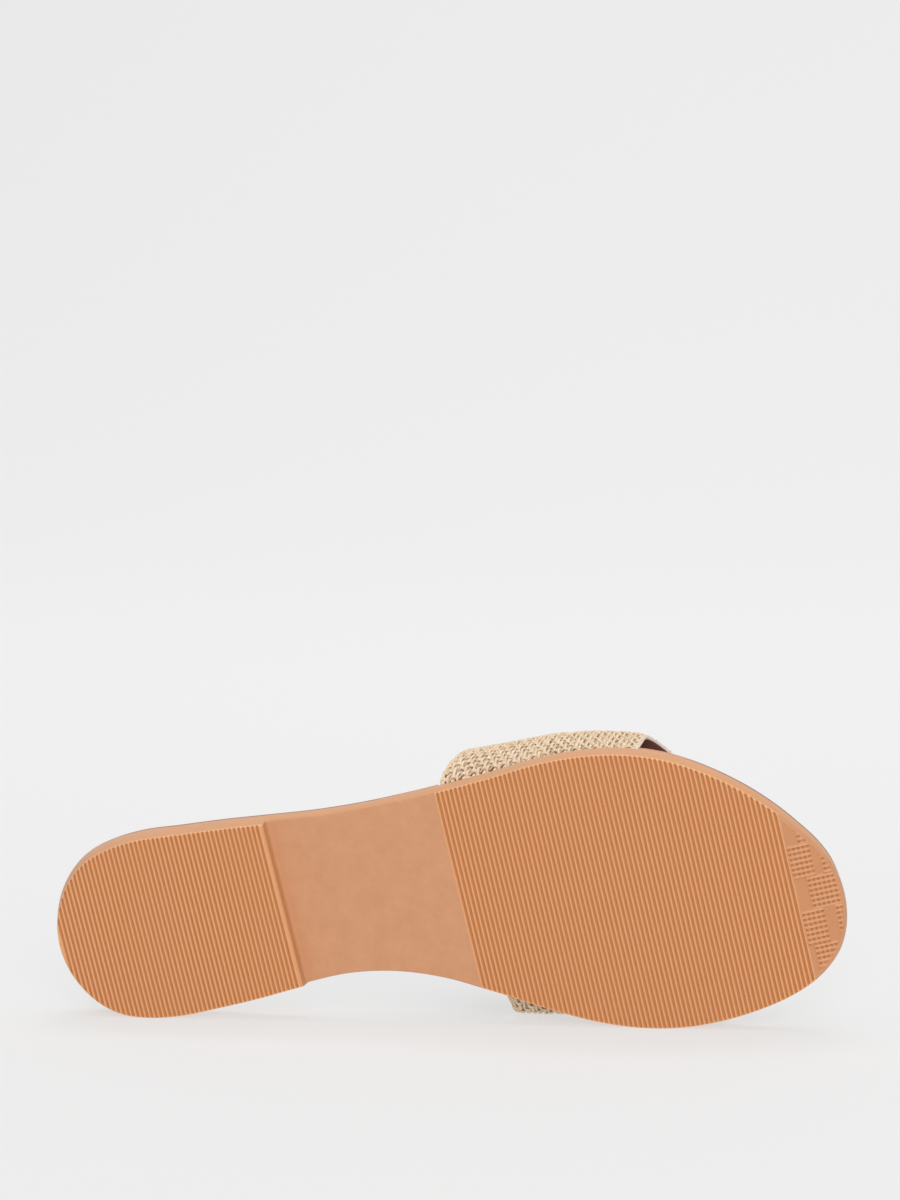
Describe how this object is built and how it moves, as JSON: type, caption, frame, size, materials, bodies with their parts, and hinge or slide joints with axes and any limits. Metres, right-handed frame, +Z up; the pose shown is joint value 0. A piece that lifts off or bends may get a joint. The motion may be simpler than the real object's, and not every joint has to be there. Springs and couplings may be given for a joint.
{
  "type": "braided sandal",
  "caption": "Flat slide sandal for the right foot, one woven straw strap over a ribbed tan rubber sole, lying on its inner side.",
  "frame": {"origin": "On the floor, under the middle of the box around the shoe as it lies on its inner side.", "axes": "+X runs along the sole's lower edge from heel to toe, +Z is up from the floor, and +Y points away from the tread, out of the strap's arch."},
  "size_m": [0.257, 0.072, 0.093],
  "materials": {
    "tan_rubber": "satin",
    "footbed_cover": "satin",
    "woven_straw": "matte"
  },
  "bodies": {
    "root": {"outsole": "tan_rubber", "footbed": "footbed_cover", "strap": "woven_straw"}
  },
  "joints": []
}
